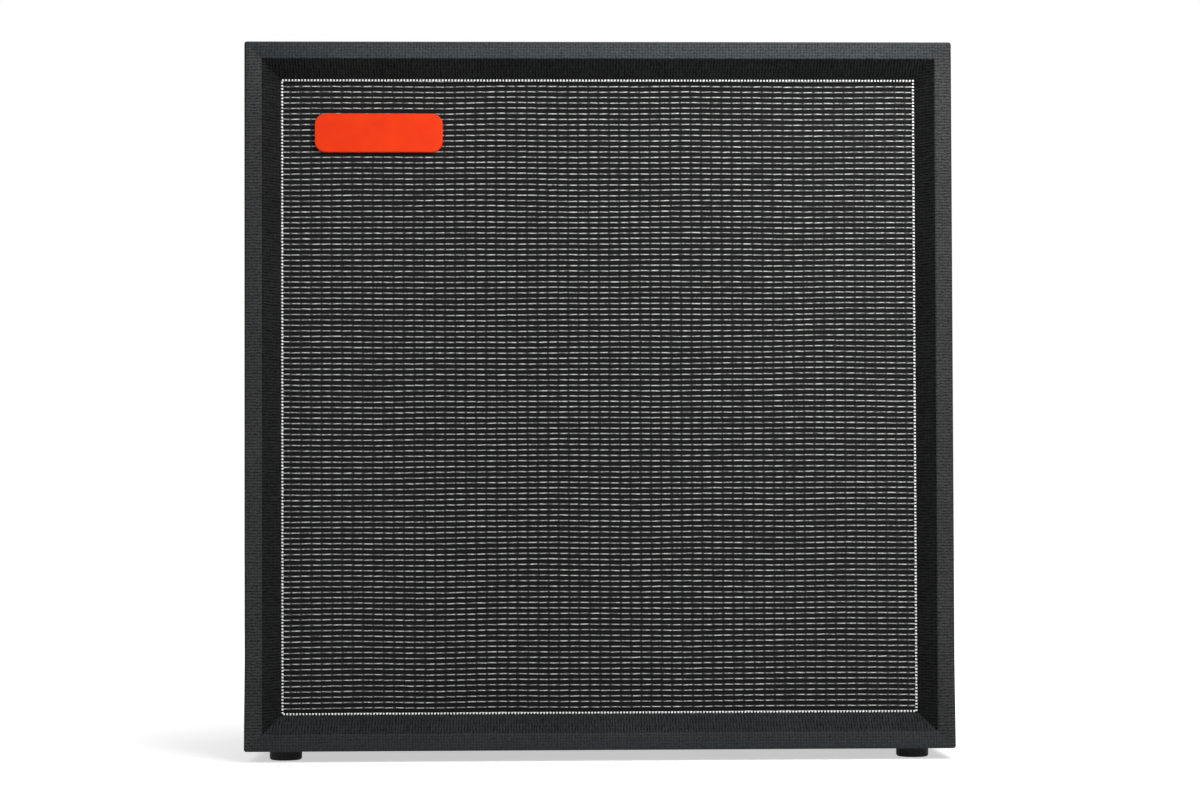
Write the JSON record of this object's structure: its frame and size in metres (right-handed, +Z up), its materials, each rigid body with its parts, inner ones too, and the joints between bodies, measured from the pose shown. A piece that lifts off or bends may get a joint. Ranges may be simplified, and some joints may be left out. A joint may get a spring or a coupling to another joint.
{
  "type": "guitar speaker cabinet",
  "caption": "Square closed-back guitar speaker cabinet in black grained vinyl, with a bevelled front frame, white piping, silver-flecked grille cloth, blank orange badge, side handles and feet.",
  "frame": {"origin": "on the floor, under the middle of the box", "axes": "+Z up, +X to the right seen from the front, and the grille looks along -Y"},
  "size_m": [0.7706, 0.356, 0.772],
  "materials": {
    "ply": "satin",
    "black_ply": "matt paint",
    "covered_wood": "grained black vinyl over wood",
    "black_vinyl": "grained, semi-matt",
    "grille_cloth": "black weave with silver floats",
    "white_cord": "twisted, satin",
    "orange_plastic": "gloss",
    "plated_steel": "bright zinc",
    "foot_rubber": "matt",
    "black_plastic": "fine texture",
    "black_steel": "satin paint",
    "wire_cover": "satin",
    "copper_braid": "satin",
    "ferrite": "matt",
    "gasket_card": "matt",
    "terminal_board": "satin",
    "cone_paper": "matt fibre",
    "coil_former": "satin",
    "doped_cloth": "doped",
    "spider_cloth": "resin-stiffened weave"
  },
  "bodies": {
    "cabinet": {"top_panel": "ply", "bottom_panel": "ply", "left_side": "ply", "right_side": "ply", "back_battens": "ply", "centre_post": "ply", "baffle_board": "black_ply", "bevel_strip_top": "covered_wood", "bevel_strip_bottom": "covered_wood", "bevel_strip_left": "covered_wood", "bevel_strip_right": "covered_wood", "back_panel": "covered_wood", "vinyl_covering": "black_vinyl", "grille_cloth": "grille_cloth", "white_piping": "white_cord", "badge_plate": "orange_plastic", "back_panel_screws": "plated_steel", "baffle_screws": "plated_steel", "foot_screws": "plated_steel", "handle_screws": "plated_steel", "speaker_bolts": "plated_steel", "tee_nuts": "plated_steel", "front_plates": "plated_steel", "back_plates": "plated_steel", "jack_plate_fasteners": "plated_steel", "rubber_feet": "foot_rubber", "handle_left": "black_plastic", "handle_right": "black_plastic", "jack_sockets": "black_plastic", "cable_clips": "black_plastic", "jack_plate": "black_steel", "basket_top_left": "black_steel", "basket_top_right": "black_steel", "basket_bottom_left": "black_steel", "basket_bottom_right": "black_steel", "wiring_loom": "wire_cover", "tinsel_leads": "copper_braid", "magnets": "ferrite", "gaskets": "gasket_card", "terminal_strips": "terminal_board", "surround_top_left": "doped_cloth", "surround_top_right": "doped_cloth", "surround_bottom_left": "doped_cloth", "surround_bottom_right": "doped_cloth", "spider_top_left": "spider_cloth", "spider_top_right": "spider_cloth", "spider_bottom_left": "spider_cloth", "spider_bottom_right": "spider_cloth"},
    "cone_body_top_left": {"cone_top_left": "cone_paper", "dust_cap_top_left": "cone_paper", "voice_coil_top_left": "coil_former"},
    "cone_body_top_right": {"cone_top_right": "cone_paper", "dust_cap_top_right": "cone_paper", "voice_coil_top_right": "coil_former"},
    "cone_body_bottom_left": {"cone_bottom_left": "cone_paper", "dust_cap_bottom_left": "cone_paper", "voice_coil_bottom_left": "coil_former"},
    "cone_body_bottom_right": {"cone_bottom_right": "cone_paper", "dust_cap_bottom_right": "cone_paper", "voice_coil_bottom_right": "coil_former"}
  },
  "joints": [
    {"name": "cone_travel_top_left", "type": "slide", "parent": "cabinet", "child": "cone_body_top_left", "axis": [0, -1, 0], "range_m": [-0.003, 0.003], "stiffness_N_per_m": 8000, "deforming": ["surround_top_left", "spider_top_left", "tinsel_leads"]},
    {"name": "cone_travel_top_right", "type": "slide", "parent": "cabinet", "child": "cone_body_top_right", "axis": [0, -1, 0], "range_m": [-0.003, 0.003], "stiffness_N_per_m": 8000, "deforming": ["surround_top_right", "spider_top_right", "tinsel_leads"]},
    {"name": "cone_travel_bottom_left", "type": "slide", "parent": "cabinet", "child": "cone_body_bottom_left", "axis": [0, -1, 0], "range_m": [-0.003, 0.003], "stiffness_N_per_m": 8000, "deforming": ["surround_bottom_left", "spider_bottom_left", "tinsel_leads"]},
    {"name": "cone_travel_bottom_right", "type": "slide", "parent": "cabinet", "child": "cone_body_bottom_right", "axis": [0, -1, 0], "range_m": [-0.003, 0.003], "stiffness_N_per_m": 8000, "deforming": ["surround_bottom_right", "spider_bottom_right", "tinsel_leads"]}
  ]
}
